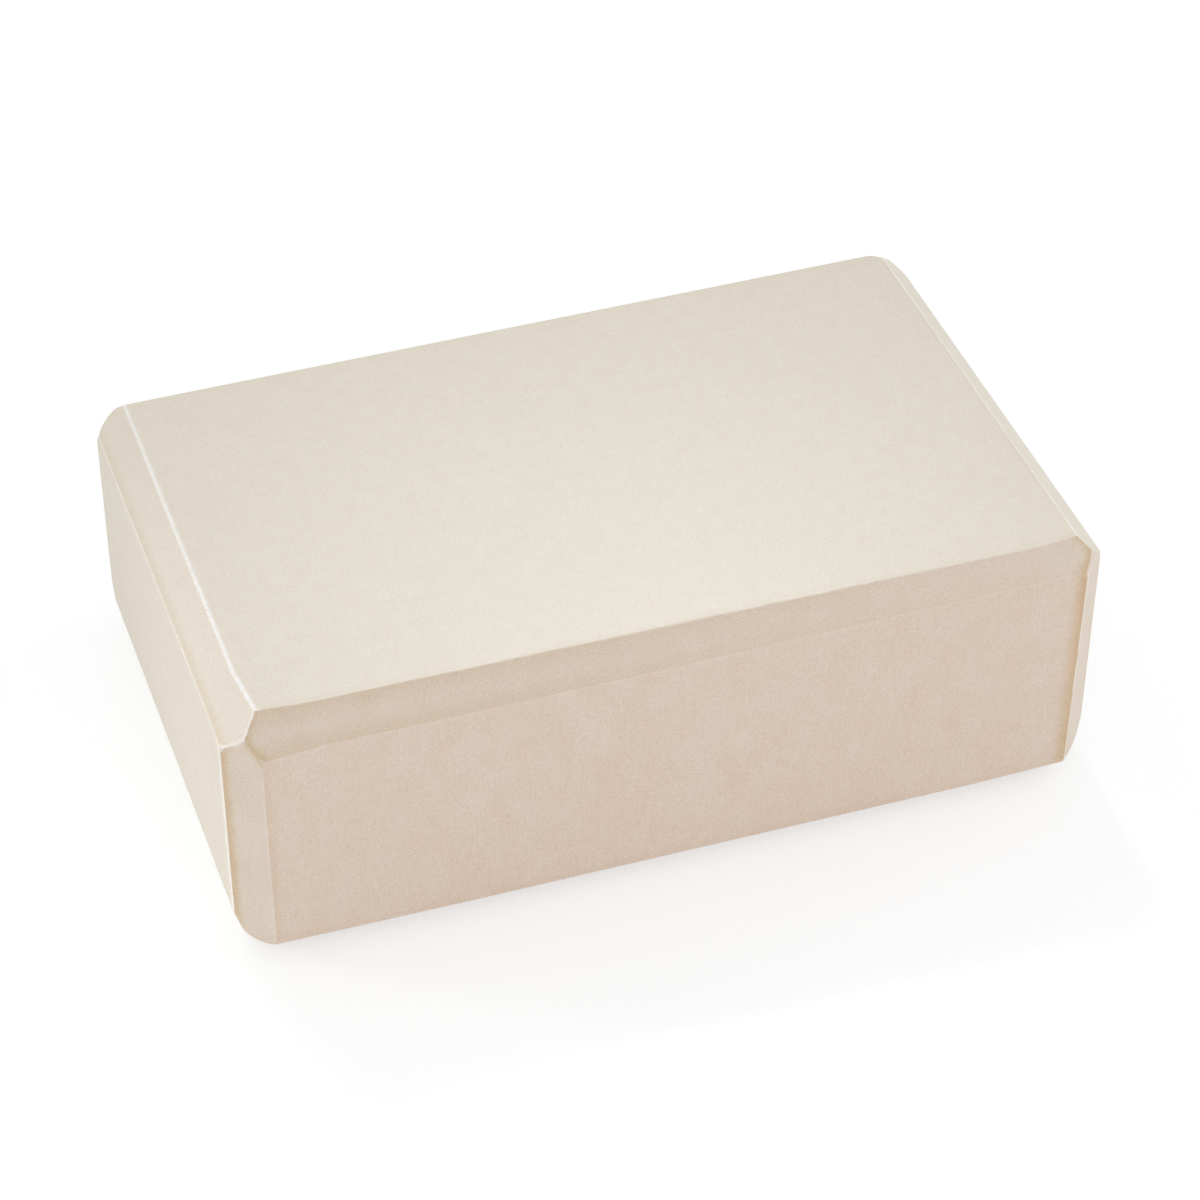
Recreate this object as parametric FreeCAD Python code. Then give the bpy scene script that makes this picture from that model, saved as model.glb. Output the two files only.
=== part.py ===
import FreeCAD, Part
import math
import os

# Firm foam yoga block: one solid brick with every edge cut at 45 degrees.
# Origin at the middle of the underside, X along the length, Z up, millimetres.

# Driving dimensions
block_length = 230.0
block_width = 150.0
block_height = 75.0
chamfer_leg = 8.0         # what each edge cut takes off either face
round_end_margin = 0.5    # a strip's round end has this much more radius than half the strip
peak_setback = 2.4        # how far the round end stays back from the sharp three-way peak

# A strip is the flat that an edge cut leaves. Seen square on, three planes alone would
# end it in a pointed peak. A ball at each corner of the block makes that end round.
strip_half_width = chamfer_leg / math.sqrt(2)
round_end_radius = strip_half_width + round_end_margin
ball_inset = chamfer_leg / 2 + peak_setback + round_end_radius
ball_to_strip = (2 * ball_inset - chamfer_leg) / math.sqrt(2)
ball_radius = math.hypot(round_end_radius, ball_to_strip)
envelope_overhang = ball_radius - ball_inset

axis_x = FreeCAD.Vector(1, 0, 0)
axis_y = FreeCAD.Vector(0, 1, 0)
axis_z = FreeCAD.Vector(0, 0, 1)


def brick(overhang=0.0):
    """Plain brick, larger than the block by the overhang on each of its six faces."""
    corner = FreeCAD.Vector(-block_length / 2 - overhang, -block_width / 2 - overhang, -overhang)
    grown = 2 * overhang
    return Part.makeBox(block_length + grown, block_width + grown, block_height + grown, corner)


def chamfered_bar(axis):
    """Brick with only the four edges along one axis cut at 45 degrees."""
    bar = brick()
    along = [edge for edge in bar.Edges if edge.tangentAt(edge.FirstParameter).isParallel(axis, 1e-6)]
    return bar.makeChamfer(chamfer_leg, along)


def corner_envelope():
    """Brick with ball corners that clears the faces and strips and reaches only the peaks."""
    envelope = brick(envelope_overhang)
    return envelope.makeFillet(ball_radius, envelope.Edges)


def foam_block():
    """The three bars' common solid, so that the strips run through and meet three at a corner."""
    solid = chamfered_bar(axis_x).common(chamfered_bar(axis_y)).common(chamfered_bar(axis_z))
    return solid.common(corner_envelope()).Solids[0]


os.makedirs("parts", exist_ok=True)
block = foam_block()
block.exportStep("parts/foam_block.step")
print("foam_block", "valid", block.isValid(), "volume", round(block.Volume / 1000, 1), "cm3")
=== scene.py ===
import math

import bmesh
import bpy
import numpy as np
from mathutils import Matrix, Quaternion, Vector


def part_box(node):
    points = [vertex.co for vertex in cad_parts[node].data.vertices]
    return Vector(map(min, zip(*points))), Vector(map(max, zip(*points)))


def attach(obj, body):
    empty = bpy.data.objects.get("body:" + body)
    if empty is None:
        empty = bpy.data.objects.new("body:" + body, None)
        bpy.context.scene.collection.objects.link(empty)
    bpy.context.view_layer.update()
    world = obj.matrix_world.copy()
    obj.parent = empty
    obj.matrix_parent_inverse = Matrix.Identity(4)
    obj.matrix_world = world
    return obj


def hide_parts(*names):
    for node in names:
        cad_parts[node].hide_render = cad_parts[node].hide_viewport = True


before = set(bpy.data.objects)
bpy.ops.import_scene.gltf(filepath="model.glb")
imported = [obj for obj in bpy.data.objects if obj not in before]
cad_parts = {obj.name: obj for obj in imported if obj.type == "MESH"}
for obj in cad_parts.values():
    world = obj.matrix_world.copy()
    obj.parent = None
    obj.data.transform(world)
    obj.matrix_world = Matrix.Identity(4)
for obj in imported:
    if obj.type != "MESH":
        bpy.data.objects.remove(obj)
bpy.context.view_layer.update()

lowCorner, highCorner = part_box("foam_block")
print("frame loaded, block", [round(size * 1000, 1) for size in highCorner - lowCorner], "mm")


def mm(value):
    return value / 1000


# The six sides of the brick: the axis each one faces along, and which way.
sides = {
    "left": (0, -1),
    "right": (0, 1),
    "front": (1, -1),
    "back": (1, 1),
    "bottom": (2, -1),
    "top": (2, 1),
}

# Sizes in millimetres. A cut is named by the two sides it runs between. For its low and its high
# end (left to right, front to back or bottom to top) it says how far it reaches in on each side.
foamBrick = {
    "edgeCuts": {
        ("top", "front"): ((8.1, 7.25), (5.9, 5.85)),
        ("top", "left"): ((8.2, 7.9), (7.4, 8.7)),
        ("top", "right"): ((7.4, 7.4), (7.2, 7.5)),
        ("top", "back"): ((10.3, 9.0), (7.9, 8.5)),
        ("front", "left"): ((8.9, 8.5), (7.8, 9.6)),
        ("front", "right"): ((8.5, 11.3), (7.5, 6.6)),
        ("back", "left"): ((8.0, 6.7), (8.0, 8.2)),
        ("back", "right"): ((8.0, 8.0), (8.0, 8.0)),
        ("bottom", "front"): ((6.2, 5.7), (6.0, 5.0)),
        ("bottom", "left"): ((4.0, 10.6), (4.0, 11.6)),
        ("bottom", "right"): ((8.0, 8.0), (8.0, 8.0)),
        ("bottom", "back"): ((8.0, 8.0), (8.0, 8.0)),
    },
    # Where a cut runs deeper towards one end: the length of that stretch, and the extra reach
    # on each side.
    "flaredEnds": {
        ("top", "left", "front"): (22.0, 2.0, 2.5),
        ("top", "front", "left"): (22.0, 1.5, 2.3),
        ("top", "front", "right"): (16.0, 2.5, 0.8),
        ("bottom", "front", "right"): (30.0, 0.2, 1.3),
        ("bottom", "front", "left"): (40.0, 0.2, 0.6),
    },
    # A strip's round end: how far its tip stays from the side beyond it, its radius, how far its
    # middle is off the strip's middle, and the degrees by which the corner tip leans away from
    # the strip. Two more numbers are a fanReach of its own. None leaves the end to its neighbours.
    "roundEnd": (6.3, 5.8, 0.0, 27.0),
    "roundEnds": {
        ("top", "left", "front"): None,
        ("front", "left", "top"): (6.6, 5.8, 0.2, 26.0),
        ("top", "front", "left"): None,
        ("top", "right", "front"): (3.2, 6.0, 2.0, 30.0),
        ("top", "front", "right"): None,
        ("front", "right", "top"): (6.0, 5.8, 0.0, 22.0),
        ("front", "left", "bottom"): (4.7, 8.9, -1.0, 52.0),
        ("front", "right", "bottom"): (5.1, 6.4, 1.2, 50.0, 0.8, 0.2),
        ("top", "left", "back"): (7.4, 7.0, 0.6, 45.0),
        ("top", "right", "back"): (7.8, 8.0, -1.5, 30.0),
        ("bottom", "left", "front"): None,
        ("bottom", "front", "left"): None,
        ("bottom", "right", "front"): None,
        ("bottom", "front", "right"): None,
        ("back", "left", "top"): None,
        ("top", "back", "left"): None,
        ("back", "right", "top"): None,
        ("top", "back", "right"): (7.5, 6.5, 0.0, 30.0),
    },
    "fanStep": 9.0,            # degrees between the planing cuts round an end
    "fanReach": (0.8, 0.8),    # how much of its radius a round end spreads to either side at most
    "arrisWidth": 0.42,        # softening on either side of every arris
    "arrisTurn": (30, 75),     # flats that turn by this many degrees are softened where they meet
    "flatRoll": (0.25, 0.5, 0.75),    # planing cuts between two flats, as shares of that turn
    "endRoll": (0.33, 0.67),          # and between a strip and its round end
    "ringDepths": (0.5, 1.1),  # slices below each flat
    "meshSpacing": 2.0,        # slices all through
    "mergeGap": 0.05,          # points closer than this become one
    "thinGap": 0.01,           # faces thinner than this go
    "frontBow": 1.15,          # how far the front cut's lower arris sags at half its length
    "bowArris": 7.0,           # where that arris runs, down from the top
    "bowFade": 14.0,           # the sag fades out this far below it
}


def cutEnds(edge):
    (axisA, signA), (axisB, signB) = sides[edge[0]], sides[edge[1]]
    along = 3 - axisA - axisB
    faceA = (highCorner if signA > 0 else lowCorner)[axisA]
    faceB = (highCorner if signB > 0 else lowCorner)[axisB]
    ends = []
    for corner, (onA, onB) in zip((lowCorner, highCorner), foamBrick["edgeCuts"][edge]):
        first, second = Vector(), Vector()
        first[axisA], first[axisB], first[along] = faceA, faceB - signB * mm(onA), corner[along]
        second[axisA], second[axisB], second[along] = faceA - signA * mm(onB), faceB, corner[along]
        ends.append((first, second))
    return ends


def lastStretch(edge, beyond):
    # The strip's end points towards a side, and the points where its last stretch to there starts.
    ends = cutEnds(edge)
    end = max(0, sides[beyond][1])
    near, far = ends[end], ends[1 - end]
    if (*edge, beyond) in foamBrick["flaredEnds"]:
        length, extraA, extraB = [mm(value) for value in foamBrick["flaredEnds"][(*edge, beyond)]]
        (axisA, signA), (axisB, signB) = sides[edge[0]], sides[edge[1]]
        share = length / (near[0] - far[0]).length
        far = [close.lerp(distant, share) for close, distant in zip(near, far)]
        near[0][axisB] -= signB * extraA
        near[1][axisA] -= signA * extraB
    return near, far


def planeThrough(pointPairs):
    (lowA, lowB), (highA, highB) = pointPairs
    middle = (lowA + lowB + highA + highB) / 4
    normal = (highA + highB - lowA - lowB).cross(lowA + highA - lowB - highB).normalized()
    if normal.dot(middle - (lowCorner + highCorner) / 2) < 0:
        normal.negate()
    return middle, normal


def sidePlane(name):
    axis, sign = sides[name]
    normal = Vector([sign * float(axis == other) for other in range(3)])
    return (highCorner if sign > 0 else lowCorner).copy(), normal


def flatPlanes():
    flats = {name: [sidePlane(name)] for name in sides}
    for edge in foamBrick["edgeCuts"]:
        flats[edge] = [planeThrough(cutEnds(edge))]
    for sideA, sideB, beyond in foamBrick["flaredEnds"]:
        flats[sideA, sideB].append(planeThrough(lastStretch((sideA, sideB), beyond)))
    return flats


def tipPlanes():
    # A fan of planes round each strip's end, named by the strip's two sides and the side beyond.
    tips = {}
    for edge in foamBrick["edgeCuts"]:
        along = 3 - sides[edge[0]][0] - sides[edge[1]][0]
        for beyond in [name for name, side in sides.items() if side[0] == along]:
            shape = foamBrick["roundEnds"].get((*edge, beyond), foamBrick["roundEnd"])
            if shape is None:
                continue
            tip, radius, offset = [mm(value) for value in shape[:3]]
            slope = math.radians(shape[3])
            reach = shape[4:] or foamBrick["fanReach"]
            near, far = lastStretch(edge, beyond)
            normal = planeThrough((near, far))[1]
            outwards = (near[0] + near[1] - far[0] - far[1]).normalized()
            across = outwards.cross(normal)
            halfWidth = (near[0] - near[1]).length / 2
            centre = (near[0] + near[1]) / 2 - outwards * (tip + radius) + across * offset
            low = -math.asin(min(reach[0], (halfWidth + offset) / radius))
            high = math.asin(min(reach[1], (halfWidth - offset) / radius))
            steps = round(math.degrees(high - low) / foamBrick["fanStep"])
            fan = []
            for step in range(steps + 1):
                turn = low + (high - low) * step / steps
                rim = outwards * math.cos(turn) + across * math.sin(turn)
                lean = slope * math.cos(turn)
                fan.append((centre + rim * radius, normal * math.cos(lean) + rim * math.sin(lean)))
            tips[(*edge, beyond)] = fan
    return tips


def rollPlanes(first, second, shares):
    # Planes that roll over from one flat to the next, each touching the same round arris.
    (pointA, normalA), (pointB, normalB) = first, second
    along = normalA.cross(normalB)
    heights = Vector((normalA.dot(pointA), normalB.dot(pointB), along.dot(pointA)))
    arris = Matrix((normalA, normalB, along)).inverted() @ heights
    half = normalA.angle(normalB) / 2
    radius = mm(foamBrick["arrisWidth"]) / math.tan(half)
    centre = arris - (normalA + normalB).normalized() * (radius / math.cos(half))
    normals = [normalA.slerp(normalB, share) for share in shares]
    return [(centre + normal * radius, normal) for normal in normals]


def planeOff(point, normal):
    bpy.ops.mesh.select_all(action="SELECT")
    bpy.ops.mesh.bisect(
        plane_co=point, plane_no=normal, use_fill=True, clear_outer=True, threshold=1e-7
    )


def sliceAt(point, normal):
    bpy.ops.mesh.select_all(action="SELECT")
    bpy.ops.mesh.bisect(plane_co=point, plane_no=normal, threshold=1e-6)


def planeArrises(flats, tips):
    least, most = [math.radians(turn) for turn in foamBrick["arrisTurn"]]
    names = list(flats)
    for index, name in enumerate(names):
        for other in names[index + 1:]:
            meeting = [(first, second) for first in flats[name] for second in flats[other]]
            for first, second in meeting:
                if least < first[1].angle(second[1]) < most:
                    for plane in rollPlanes(first, second, foamBrick["flatRoll"]):
                        planeOff(*plane)
    for name, fan in tips.items():
        strip = planeThrough(lastStretch(name[:2], name[2]))
        for tip in fan:
            for plane in rollPlanes(strip, tip, foamBrick["endRoll"]):
                planeOff(*plane)


def buildBrick():
    bpy.ops.object.select_all(action="DESELECT")
    bpy.ops.mesh.primitive_cube_add(
        size=1, location=(lowCorner + highCorner) / 2, scale=highCorner - lowCorner
    )
    brick = bpy.context.object
    brick.name = "foam_brick"
    bpy.ops.object.transform_apply(location=True, rotation=True, scale=True)
    bpy.ops.object.mode_set(mode="EDIT")
    flats, tips = flatPlanes(), tipPlanes()
    for planes in [*list(flats.values())[len(sides):], *tips.values()]:
        for plane in planes:
            planeOff(*plane)
    print("brick cut to shape,", len(bmesh.from_edit_mesh(brick.data).faces), "faces")
    planeArrises(flats, tips)
    bpy.ops.mesh.select_all(action="SELECT")
    bpy.ops.mesh.remove_doubles(threshold=mm(foamBrick["mergeGap"]))
    print("arrises rounded,", len(bmesh.from_edit_mesh(brick.data).faces), "faces")

    # Slices a little below every flat give rings beside the arrises. Slices all through then let
    # the tones and the sag follow the surface.
    for planes in flats.values():
        for point, normal in planes:
            for depth in foamBrick["ringDepths"]:
                sliceAt(point - normal * mm(depth), normal)
    for axis in range(3):
        across = Vector([float(axis == other) for other in range(3)])
        slices = round((highCorner - lowCorner)[axis] / mm(foamBrick["meshSpacing"]))
        for step in range(1, slices):
            sliceAt(lowCorner.lerp(highCorner, step / slices), across)
    bpy.ops.mesh.select_all(action="SELECT")
    bpy.ops.mesh.remove_doubles(threshold=mm(foamBrick["mergeGap"]))
    bpy.ops.mesh.dissolve_degenerate(threshold=mm(foamBrick["thinGap"]))
    bpy.ops.mesh.normals_make_consistent(inside=False)
    bpy.ops.object.mode_set(mode="OBJECT")
    bpy.ops.object.shade_smooth()
    print("flats sliced,", len(brick.data.polygons), "faces")
    return brick


def sagFrontCut(brick):
    # Slides the lower arris down the front side, most at half length, and fades out above
    # and below it.
    arris = highCorner.z - mm(foamBrick["bowArris"])
    fade = arris - mm(foamBrick["bowFade"])
    for vertex in brick.data.vertices:
        if vertex.co.y < 0 and vertex.co.z > fade:
            share = (vertex.co.x - lowCorner.x) / (highCorner.x - lowCorner.x)
            above = (highCorner.z - vertex.co.z) / (highCorner.z - arris)
            below = (vertex.co.z - fade) / (arris - fade)
            vertex.co.z -= mm(foamBrick["frontBow"]) * 4 * share * (1 - share) * min(above, below)
    print("front cut's lower arris sagged by", foamBrick["frontBow"], "mm")


# Painted light beside an arris, named by the flat it lies on and the flat beyond. First the painted
# white highlight along the arris, then the painted tan shade line beside it, each with its strength
# at the arris's low and high end, and its width in millimetres. A strength of 1 is full, and more
# than 1 also fills the nicks.
paintedArrisLight = {
    ("top", ("top", "left")): (1.25, 0.75, 1.1, 0.0, 0.0, 2.7),
    (("top", "left"), "top"): (1.25, 0.9, 0.75, 0.0, 0.0, 2.7),
    (("top", "left"), "left"): (0.8, 0.8, 0.6, 0.5, 0.3, 4.0),
    ("left", ("top", "left")): (0.7, 0.7, 0.6, 0.25, 0.25, 1.5),
    (("top", "front"), "top"): (0.0, 0.0, 1.1, 0.4, 0.0, 6.0),
    (("top", "front"), "front"): (0.0, 0.0, 1.1, 0.4, 0.0, 6.0),
    ("front", ("top", "front")): (0.12, 0.12, 1.1, 0.0, 0.0, 2.7),
    ("left", ("front", "left")): (0.7, 0.7, 4.0, 0.0, 0.0, 2.7),
    (("front", "left"), "left"): (0.0, 0.0, 1.1, 1.0, 1.0, 3.6),
    (("front", "left"), "front"): (0.28, 0.28, 1.1, 0.0, 0.0, 2.7),
    ("front", ("front", "left")): (0.0, 0.0, 1.1, 0.3, 0.3, 2.7),
    ("front", ("front", "right")): (0.0, 0.0, 1.1, 0.85, 1.0, 4.6),
    (("front", "right"), "front"): (0.8, 0.8, 1.1, 0.0, 0.0, 2.7),
    ("top", ("top", "right")): (0.6, 0.6, 0.5, 0.35, 0.35, 1.5),
    (("top", "right"), "top"): (1.0, 0.9, 1.2, 0.0, 0.0, 2.7),
    (("top", "left"), ("top", "front")): (0.6, 0.6, 1.1, 0.0, 0.0, 2.7),
    (("top", "front"), ("top", "left")): (0.0, 0.0, 1.1, 0.6, 0.6, 2.7),
    (("top", "left"), ("front", "left")): (0.6, 0.6, 1.1, 0.0, 0.0, 2.7),
    (("top", "front"), ("front", "left")): (0.0, 0.0, 1.1, 0.6, 0.6, 2.7),
    (("top", "front"), ("top", "right")): (0.0, 0.0, 1.1, 0.7, 0.7, 2.7),
    (("top", "front"), ("front", "right")): (0.0, 0.0, 1.1, 0.7, 0.7, 2.7),
    (("top", "right"), ("top", "front")): (1.0, 1.0, 1.1, 0.0, 0.0, 2.7),
    (("front", "left", "top"), ("front", "left")): (0.9, 0.0, 1.1, 0.0, 0.9, 1.6),
    (("front", "left", "top"), ("top", "left")): (1.0, 0.6, 1.1, 0.0, 0.0, 2.7),
    (("front", "left", "top"), ("top", "front")): (0.0, 0.0, 1.1, 0.8, 0.8, 1.6),
    (("front", "left"), ("front", "left", "top")): (0.1, 0.1, 1.1, 0.0, 0.3, 2.0),
    (("top", "left"), ("front", "left", "top")): (0.7, 0.7, 1.1, 0.0, 0.0, 2.7),
    (("top", "front"), ("front", "left", "top")): (0.0, 0.0, 1.1, 0.9, 0.9, 2.0),
    (("front", "right", "top"), ("front", "right")): (0.8, 0.2, 1.1, 0.0, 0.0, 2.7),
    (("top", "front"), ("front", "right", "top")): (0.0, 0.0, 1.1, 1.0, 1.0, 2.7),
}
plainArrisLight = (0.15, 0.15, 1.1, 0.15, 0.15, 2.7)    # painted highlight and painted shade beside any other arris

# How much of a cut has the sawn tone of the long sides, and not the skin's. It is 1 for the rest.
# Cuts that face the front take more of it, so this is partly the real sawn tone and partly painted
# warm shade.
sawnAndShadeShares = {
    ("top", "front"): 0.6,
    ("top", "left"): 0.3,
    ("top", "right"): 0.0,
    ("front", "right"): 0.3,
}
leastSlant = 0.1    # flats that turn less than this towards each other count as far apart
farAway = 9.0       # millimetres


def toneArrises(brick):
    # Stores per face corner the painted highlight and painted shade beside every arris, and which
    # faces have the sawn tone.
    mesh = brick.data
    count = len(mesh.vertices)
    places = np.empty(count * 3)
    mesh.vertices.foreach_get("co", places)
    places = places.reshape(-1, 3)
    along = (places - np.array(lowCorner)) / np.array(highCorner - lowCorner)
    planes = {**flatPlanes(), **tipPlanes()}
    names = list(planes)
    normals = {name: np.array([normal for point, normal in planes[name]]) for name in names}

    # Each point's depth below every flat or round end, and which of its planes is the nearest.
    depths = np.empty((count, len(names)))
    nearest = np.empty((count, len(names)), dtype=int)
    for column, name in enumerate(names):
        each = [(np.array(point) - places) @ np.array(normal) for point, normal in planes[name]]
        depths[:, column] = np.min(each, axis=0)
        nearest[:, column] = np.argmin(each, axis=0)

    # A face lies on the flat that its points are least below.
    loopVertices = np.empty(len(mesh.loops), dtype=int)
    mesh.loops.foreach_get("vertex_index", loopVertices)
    loopTotals = np.empty(len(mesh.polygons), dtype=int)
    mesh.polygons.foreach_get("loop_total", loopTotals)
    loopFaces = np.repeat(np.arange(len(mesh.polygons)), loopTotals)
    faceDepths = np.zeros((len(mesh.polygons), len(names)))
    np.add.at(faceDepths, loopFaces, depths[loopVertices])
    flatOfLoop = np.argmin(faceDepths, axis=1)[loopFaces]

    # Each face corner takes its painted highlight and its painted shade from the arris that gives
    # it most, or else from the nearest.
    kinds = ("paleRim", "rimGap"), ("tanLine", "tanGap")
    tones = {name: np.zeros(len(loopVertices)) for kind in kinds for name in kind}
    most = {kind: np.full(len(loopVertices), -1.0) for kind in kinds}
    for column, name in enumerate(names):
        loops = np.nonzero(flatOfLoop == column)[0]
        corners = loopVertices[loops]
        facing = normals[name][nearest[corners, column]]
        for other, beyond in enumerate(names):
            if other == column or (name in sides and beyond in sides):
                continue
            turned = np.cross(facing, normals[beyond][nearest[corners, other]])
            slant = np.linalg.norm(turned, axis=1)
            away = depths[corners, other] / np.maximum(slant, leastSlant) * 1000
            away = np.where(slant > leastSlant, away, farAway)
            tips = [key for key in (beyond, name) if key not in sides and len(key) == 3]
            if tips:
                run = nearest[corners, names.index(tips[0])] / (len(planes[tips[0]]) - 1)
            else:
                strip = name if beyond in sides else beyond
                run = along[corners, 3 - sides[strip[0]][0] - sides[strip[1]][0]]
            tone = paintedArrisLight.get((name, beyond), plainArrisLight)
            for kind, (low, high, width) in zip(kinds, (tone[:3], tone[3:])):
                strength = low + (high - low) * run
                share = np.minimum(away / width, 1)
                score = strength * (1 - share ** 2 * (3 - 2 * share)) - away / 1000
                better = score > most[kind][loops]
                most[kind][loops] = np.where(better, score, most[kind][loops])
                for key, value in zip(kind, (strength, away / width)):
                    tones[key][loops] = np.where(better, value, tones[key][loops])

    # Each flat's share of the warmer sawn tone; on the front-facing cuts it also paints warm shade.
    sawn = [0.0 if name in sides else sawnAndShadeShares.get(name[:2], 1.0) for name in names]
    tones["edgeStrip"] = np.array(sawn)[flatOfLoop]
    longSides = [names.index("front"), names.index("back")]
    tones["longSide"] = np.isin(flatOfLoop, longSides).astype(float)
    for name, values in tones.items():
        stored = mesh.attributes.new(name, "FLOAT", "CORNER")
        stored.data.foreach_set("value", values.astype(np.float32))
    print("arrises toned,", int(np.sum(tones["tanGap"] < 1)), "face corners near an arris")


def toLinear(hexColour):
    channels = [int(hexColour[i:i + 2], 16) / 255 for i in (1, 3, 5)]
    return [c / 12.92 if c <= 0.04045 else ((c + 0.055) / 1.055) ** 2.4 for c in channels] + [1.0]


def addNode(tree, kind, settings, links=()):
    node = tree.nodes.new("ShaderNode" + kind)
    for name, value in settings.items():
        if isinstance(name, int) or name in node.inputs:
            node.inputs[name].default_value = value
        else:
            setattr(node, name, value)
    for name, source in links:
        tree.links.new(source, node.inputs[name])
    return node.outputs


foamLook = {
    "colour": "#E9E3D7",
    "mottleColour": "#E7E0D3",
    "warmColour": "#E6DDCF",
    "pinkColour": "#E9E2D7",
    # white of the painted highlight along the arrises
    "highlightColour": "#FFFFFF",
    # tint of the painted shade line beside the arrises
    "shadeTint": "#EFE2C7",
    # Each pattern's size in millimetres along X, Y and Z, and its detail. The grain is drawn about
    # twice as coarse as the real cells, so that it shows.
    "patterns": {
        "grain": ((0.33, 0.33, 0.33), 2.0),
        "mottle": ((5.0, 5.0, 5.0), 3.0),
        "streaks": ((0.45, 0.45, 6.0), 2.0),
        "clouds": ((8.0, 8.0, 12.0), 3.0),
        "ragged": ((3.0, 3.0, 3.0), 3.0),
        "nicks": ((0.8, 0.8, 0.8), 2.0),
    },
    "skinGrain": 0.068,                # how much lighter and darker the grain makes the skin
    "sawnGrain": 0.1,                  # and the sawn sides
    "streakDepth": 0.014,
    "grainTint": (0.95, 1.2, 1.5),     # grain and streaks show more in blue than in red
    "raggedReach": 0.2,                # the painted highlights and shade lines wander by this share of their width
    "nickLeaves": 0.55,                # how much of a painted highlight is left in a nick
    "roughness": 0.6,
    "highlightRoughness": 0.32,
    "bumpHeight": 0.04,
    "bumpStrength": 0.4,
}
noiseRange = {"From Min": 0.3, "From Max": 0.7}    # where most values of a noise lie
nickRange = {"From Min": 0.35, "From Max": 0.6}


def foamMaterial():
    # Closed-cell EVA foam, sawn to size: matt and warm white, with a fine even grain.
    look = foamLook
    material = bpy.data.materials.new("sawn_closed_cell_eva_foam")
    material.use_nodes = True
    tree = material.node_tree
    shader = tree.nodes["Principled BSDF"]
    place = addNode(tree, "TexCoord", {})["Object"]
    attribute = {
        name: addNode(tree, "Attribute", {"attribute_name": name})["Fac"]
        for name in ("paleRim", "rimGap", "tanLine", "tanGap", "edgeStrip", "longSide")
    }
    pattern = {}
    for name, (size, detail) in look["patterns"].items():
        scale = [1 / mm(length) for length in size]
        scaled = addNode(tree, "Mapping", {"Scale": scale}, [("Vector", place)])["Vector"]
        noise = {"Scale": 1.0, "Detail": detail}
        pattern[name] = addNode(tree, "TexNoise", noise, [("Vector", scaled)])["Fac"]

    # The skin has a faint mottle from the bun's density. The long sides and the cuts were sawn and
    # have clouds from warm to pinkish cream.
    tones = {}
    for name, first, second in (
        ("mottle", "colour", "mottleColour"),
        ("clouds", "warmColour", "pinkColour"),
    ):
        amount = addNode(tree, "MapRange", noiseRange, [("Value", pattern[name])])["Result"]
        ends = {"Color1": toLinear(look[first]), "Color2": toLinear(look[second])}
        tones[name] = addNode(tree, "MixRGB", ends, [("Fac", amount)])["Color"]
    # On the cuts that face the front, their share of this warmer tone also paints warm shade.
    sawn = addNode(
        tree, "Math", {"operation": "ADD"},
        [(0, attribute["edgeStrip"]), (1, attribute["longSide"])],
    )["Value"]
    colour = addNode(
        tree, "MixRGB", {},
        [("Fac", sawn), ("Color1", tones["mottle"]), ("Color2", tones["clouds"])],
    )["Color"]

    # Closed cells give a fine grain, deeper where it is sawn, and the saw short upright streaks.
    grainDepth = addNode(
        tree, "MapRange", {"To Min": look["skinGrain"], "To Max": look["sawnGrain"]},
        [("Value", sawn)],
    )["Result"]
    streakDepth = addNode(
        tree, "Math", {"operation": "MULTIPLY", 1: look["streakDepth"]},
        [(0, attribute["longSide"])],
    )["Value"]
    for name, depth in (("grain", grainDepth), ("streaks", streakDepth)):
        swing = addNode(
            tree, "MapRange", {**noiseRange, "clamp": False, "To Min": -1.0, "To Max": 1.0},
            [("Value", pattern[name])],
        )["Result"]
        shade = addNode(tree, "Math", {"operation": "MULTIPLY"}, [(0, swing), (1, depth)])["Value"]
        tinted = addNode(
            tree, "VectorMath", {"operation": "MULTIPLY_ADD", 1: look["grainTint"], 2: (1, 1, 1)},
            [(0, shade)],
        )["Vector"]
        colour = addNode(
            tree, "MixRGB", {"blend_type": "MULTIPLY", "Fac": 1.0},
            [("Color1", colour), ("Color2", tinted)],
        )["Color"]

    # Painted shade as a tan line beside an arris, and a painted white highlight along it.
    reach = look["raggedReach"]
    wander = addNode(
        tree, "MapRange", {"To Min": -reach, "To Max": reach}, [("Value", pattern["ragged"])]
    )["Result"]
    line = {}
    for name, gapName in (("tanLine", "tanGap"), ("paleRim", "rimGap")):
        gap = addNode(
            tree, "Math", {"operation": "ADD"}, [(0, attribute[gapName]), (1, wander)]
        )["Value"]
        fade = addNode(
            tree, "MapRange", {"interpolation_type": "SMOOTHSTEP", "To Min": 1.0, "To Max": 0.0},
            [("Value", gap)],
        )["Result"]
        line[name] = addNode(
            tree, "Math", {"operation": "MULTIPLY"}, [(0, fade), (1, attribute[name])]
        )["Value"]
    # Painted shade: the tan line darkens the colour beside the arris.
    colour = addNode(
        tree, "MixRGB", {"blend_type": "MULTIPLY", "Color2": toLinear(look["shadeTint"])},
        [("Fac", line["tanLine"]), ("Color1", colour)],
    )["Color"]
    unbroken = addNode(
        tree, "MapRange", {**nickRange, "To Min": look["nickLeaves"], "To Max": 1.0},
        [("Value", pattern["nicks"])],
    )["Result"]
    # Painted highlight, broken by the nicks, then mixed towards white along the arris.
    rim = addNode(
        tree, "Math", {"operation": "MULTIPLY"}, [(0, line["paleRim"]), (1, unbroken)]
    )["Value"]
    colour = addNode(
        tree, "MixRGB", {"Color2": toLinear(look["highlightColour"])}, [("Fac", rim), ("Color1", colour)]
    )["Color"]
    tree.links.new(colour, shader.inputs["Base Color"])

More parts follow.
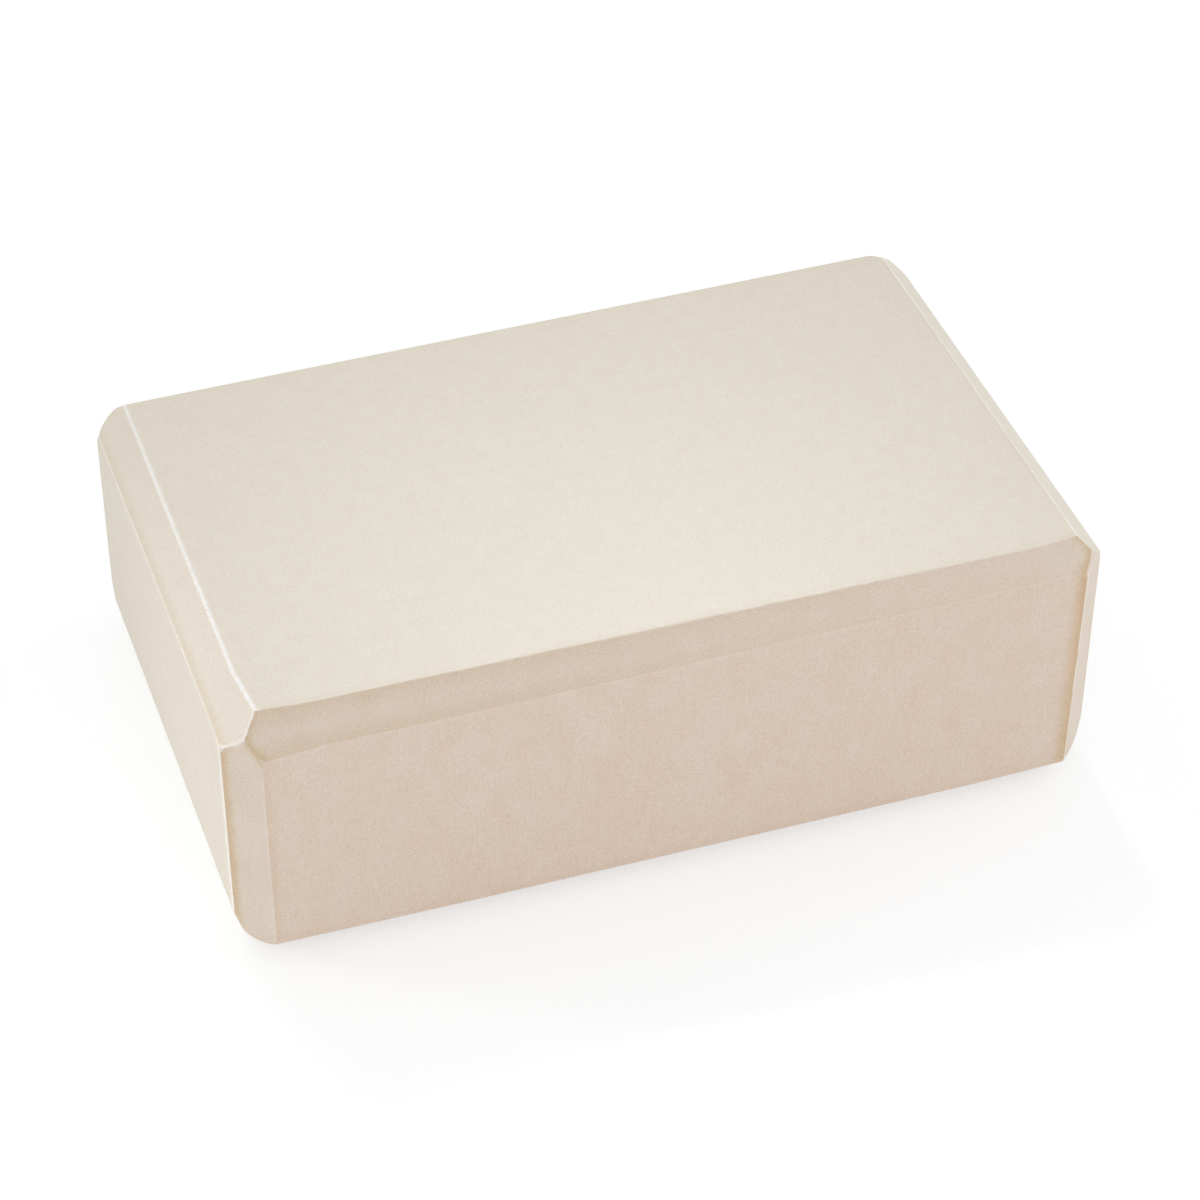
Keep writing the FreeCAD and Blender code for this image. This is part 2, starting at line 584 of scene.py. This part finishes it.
    # Along the painted highlight the foam is also made smoother, so that it catches the light.
    roughness = addNode(
        tree, "MapRange", {"To Min": look["roughness"], "To Max": look["highlightRoughness"]},
        [("Value", rim)],
    )["Result"]
    tree.links.new(roughness, shader.inputs["Roughness"])
    bump = addNode(
        tree, "Bump", {"Strength": look["bumpStrength"], "Distance": mm(look["bumpHeight"])},
        [("Height", pattern["grain"])],
    )["Normal"]
    tree.links.new(bump, shader.inputs["Normal"])
    print("foam material made,", len(tree.nodes), "nodes")
    return material


brick = buildBrick()
brick.data.materials.clear()
brick.data.materials.append(foamMaterial())
toneArrises(brick)
sagFrontCut(brick)
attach(brick, "root")
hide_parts("foam_block")

# Camera of the photograph, in millimetres and degrees.
viewpoint = {
    "location": (-246.71, -756.27, 675.82),
    "aim": (0.16, -9.2, 37.5),
    "roll": -0.415,
    "lens": 115.79,
    "sensor": 36.0,
    "nearest": 10.0,
}
bpy.ops.object.camera_add(location=[mm(value) for value in viewpoint["location"]])
camera = bpy.context.object
towards = Vector(viewpoint["aim"]) - Vector(viewpoint["location"])
level = towards.to_track_quat("-Z", "Y")
turned = level @ Quaternion((0, 0, 1), math.radians(viewpoint["roll"]))
camera.rotation_euler = turned.to_euler()
camera.data.lens = viewpoint["lens"]
camera.data.sensor_width = viewpoint["sensor"]
camera.data.clip_start = mm(viewpoint["nearest"])
bpy.context.scene.camera = camera
print("camera set, lens", viewpoint["lens"], "mm")

paperFloor = {
    "size": 6.0,               # metres
    "tone": 0.9,               # how much light it sends back to the block
    "seenTone": 0.6,           # the same for the camera and reflections, which see the glow as well
    "glow": 0.55,
    "glowColour": "#F6FBFF",
    "roughness": 1.0,
}


def paperMaterial():
    # Matt white paper: plain white to the eye, with the block's soft shadow on it.
    material = bpy.data.materials.new("white_paper")
    material.use_nodes = True
    tree = material.node_tree
    shader = tree.nodes["Principled BSDF"]
    shader.inputs["Roughness"].default_value = paperFloor["roughness"]
    shader.inputs["Specular IOR Level"].default_value = 0.0
    shader.inputs["Emission Color"].default_value = toLinear(paperFloor["glowColour"])
    rays = addNode(tree, "LightPath", {})
    seen = rays["Is Camera Ray"]
    for name in ("Is Glossy Ray", "Is Transmission Ray"):
        seen = addNode(
            tree, "Math", {"operation": "MAXIMUM"}, [(0, seen), (1, rays[name])]
        )["Value"]
    glow = addNode(
        tree, "Math", {"operation": "MULTIPLY", 1: paperFloor["glow"]}, [(0, seen)]
    )["Value"]
    tree.links.new(glow, shader.inputs["Emission Strength"])
    tone = addNode(
        tree, "MapRange", {"To Min": paperFloor["tone"], "To Max": paperFloor["seenTone"]},
        [("Value", seen)],
    )["Result"]
    tree.links.new(tone, shader.inputs["Base Color"])
    return material


bpy.ops.mesh.primitive_plane_add(size=paperFloor["size"], location=(0, 0, 0))
floor = bpy.context.object
floor.name = "studio_floor"
floor.data.materials.append(paperMaterial())
print("floor laid,", paperFloor["size"], "m")

# Soft boxes round the block: place, aim and edge in metres, spread in degrees, and the watts in
# red, green and blue.
softBoxes = {
    "back_beam": {
        "place": (0.1, 0.75, 1.05), "aim": (0.0, -0.11, 0.075), "edge": 0.2, "spread": 12,
        "watts": (0.0363, 0.0378, 0.0395),
    },
    "left_beam": {
        "place": (-0.9, 0.45, 0.22), "aim": (-0.115, -0.07, 0.03), "edge": 0.15, "spread": 14,
        "watts": (0.0195, 0.0193, 0.0193),
    },
    "left": {"place": (-1.35, 0.5, 0.55), "edge": 1.0, "watts": (0.9, 0.9, 0.9)},
    "right": {"place": (1.35, 0.1, 0.55), "edge": 1.0, "watts": (2.72, 3.02, 3.36)},
    "front_low": {"place": (0.15, -1.2, 0.12), "edge": 0.2, "watts": (1.28, 0.42, 0.27)},
    "back": {"place": (-0.4, 1.4, 1.0), "edge": 0.45, "watts": (3.12, 3.4, 3.5)},
}
plainAim = (0, 0, 0.04)
plainSpread = 180
for name, box in softBoxes.items():
    bpy.ops.object.light_add(type="AREA", location=box["place"])
    lamp = bpy.context.object
    lamp.name = name
    towards = Vector(box.get("aim", plainAim)) - Vector(box["place"])
    lamp.rotation_euler = towards.to_track_quat("-Z", "Y").to_euler()
    lamp.data.size = box["edge"]
    lamp.data.spread = math.radians(box.get("spread", plainSpread))
    lamp.data.energy = max(box["watts"])
    lamp.data.color = [watt / max(box["watts"]) for watt in box["watts"]]

studioSky = {"colour": "#FFFBF6", "strength": 0.712}
world = bpy.data.worlds.new("studio")
bpy.context.scene.world = world
world.use_nodes = True
sky = world.node_tree.nodes["Background"]
sky.inputs["Color"].default_value = toLinear(studioSky["colour"])
sky.inputs["Strength"].default_value = studioSky["strength"]
bpy.context.scene.view_settings.view_transform = "Standard"
print("lamps set,", len(softBoxes), "soft boxes and the sky")
